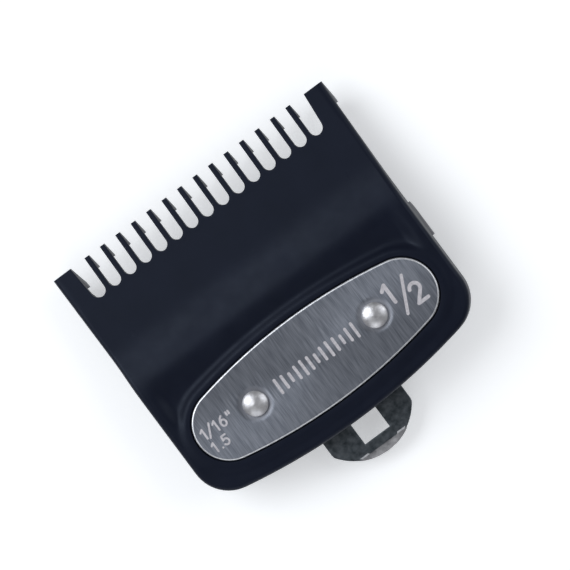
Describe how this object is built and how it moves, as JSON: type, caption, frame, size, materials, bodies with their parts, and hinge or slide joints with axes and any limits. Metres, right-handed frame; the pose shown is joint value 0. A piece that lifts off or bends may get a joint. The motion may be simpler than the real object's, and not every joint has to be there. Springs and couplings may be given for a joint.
{
  "type": "clipper guard comb",
  "caption": "Hair clipper guard comb: a black plastic comb with short teeth, a riveted steel name plate and a sprung steel clip with a thumb tab.",
  "frame": {"origin": "centre of the bounding box's bottom face: the ears stand on Z = 0", "axes": "+X across the teeth towards the larger size mark of the plate, +Y towards the tooth tips, +Z out of the name plate"},
  "size_m": [0.05, 0.05, 0.0104],
  "materials": {
    "black_plastic": "satin moulded blue-black plastic",
    "plate_steel": "stainless steel brushed across the plate",
    "rivet_metal": "smooth bright domed head",
    "spring_steel": "dark tempered spring steel, lightly worn"
  },
  "bodies": {
    "comb": {"comb_body": "black_plastic", "name_plate": "plate_steel", "rivet_left": "rivet_metal", "rivet_right": "rivet_metal", "clip_leaf": "spring_steel"},
    "clip": {"clip_tongue": "spring_steel"}
  },
  "joints": [
    {"name": "clip_flex", "type": "hinge", "parent": "comb", "child": "clip", "pos_m": [0, -0.0143, 0.0066], "axis": [1, 0, 0], "range_deg": [-12, 3], "stiffness_Nm_per_rad": 0.3}
  ]
}
